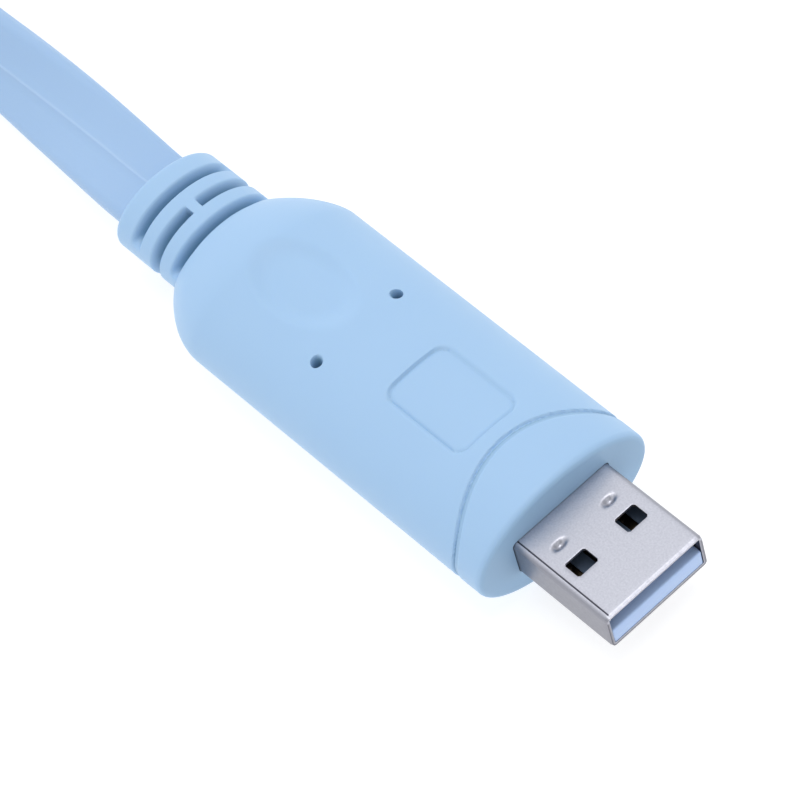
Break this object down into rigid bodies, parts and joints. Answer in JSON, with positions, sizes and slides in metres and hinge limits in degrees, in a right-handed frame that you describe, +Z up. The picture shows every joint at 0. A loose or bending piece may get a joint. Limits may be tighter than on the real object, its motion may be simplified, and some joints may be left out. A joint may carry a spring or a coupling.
{
  "type": "rj45 console cable",
  "caption": "Flat light blue console cable with a USB-A converter plug, a ribbed strain relief and a clear modular plug, wound into a tied hank.",
  "frame": {"origin": "on the surface it lies on, under the middle of the converter plug's length, from strain relief to USB tip", "axes": "+X towards the tip of the USB plug, +Z up, out of the converter's top with the pinholes"},
  "size_m": [0.2625, 0.0746, 0.0122],
  "materials": {
    "blue_moulding": "satin",
    "blue_cable": "satin",
    "blue_insulator": "satin",
    "nickel_shell": "satin",
    "gold_contacts": "polished",
    "clear_plastic": "clear",
    "dark_strap": "woven"
  },
  "bodies": {
    "root": {"housing": "blue_moulding", "usb_shell": "nickel_shell", "usb_tongue": "blue_insulator", "usb_contact_1": "gold_contacts", "usb_contact_2": "gold_contacts", "usb_contact_3": "gold_contacts", "usb_contact_4": "gold_contacts", "cable_lead": "blue_cable", "cable_hank": "blue_cable", "hank_tie": "dark_strap", "cable_tail": "blue_cable", "rj45_plug": "clear_plastic", "rj45_contact_1": "gold_contacts", "rj45_contact_2": "gold_contacts", "rj45_contact_3": "gold_contacts", "rj45_contact_4": "gold_contacts", "rj45_contact_5": "gold_contacts", "rj45_contact_6": "gold_contacts", "rj45_contact_7": "gold_contacts", "rj45_contact_8": "gold_contacts"}
  },
  "joints": []
}
